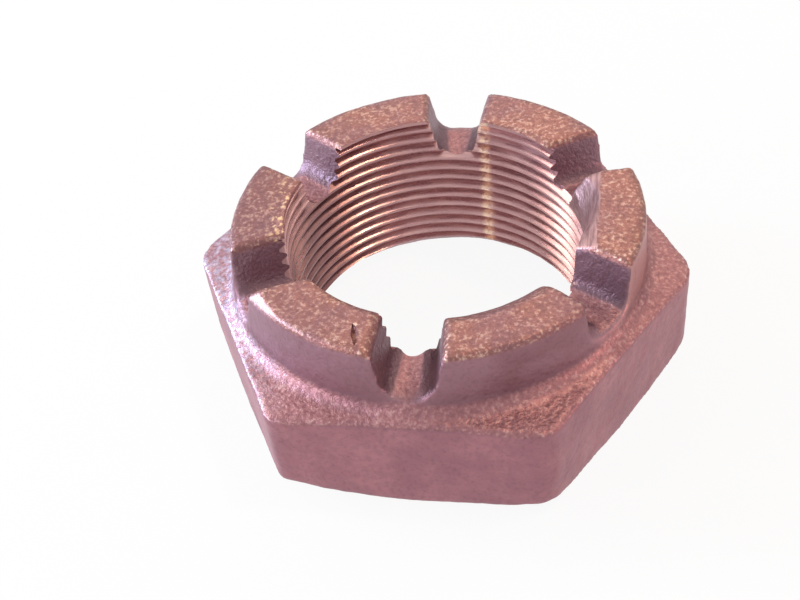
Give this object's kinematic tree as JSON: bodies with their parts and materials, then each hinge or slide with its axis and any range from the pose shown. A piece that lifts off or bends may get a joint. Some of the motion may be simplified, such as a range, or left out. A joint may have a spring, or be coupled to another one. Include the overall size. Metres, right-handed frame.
{
  "type": "castle nut",
  "caption": "Heavy hexagonal castle nut with a slotted crown and a fine-threaded bore, locked on an axle end by a cotter pin.",
  "frame": {"origin": "centre of the bore on the plane of the bearing face", "axes": "+Z along the bore, from the bearing face to the crown; -Y is square to a wrench flat and +X points at a corner"},
  "size_m": [0.0593, 0.052, 0.0215],
  "materials": {
    "forged_steel": "as forged and grit-blasted, brown, with a bare machined bore"
  },
  "bodies": {
    "root": {"castle_nut": "forged_steel"}
  },
  "joints": []
}
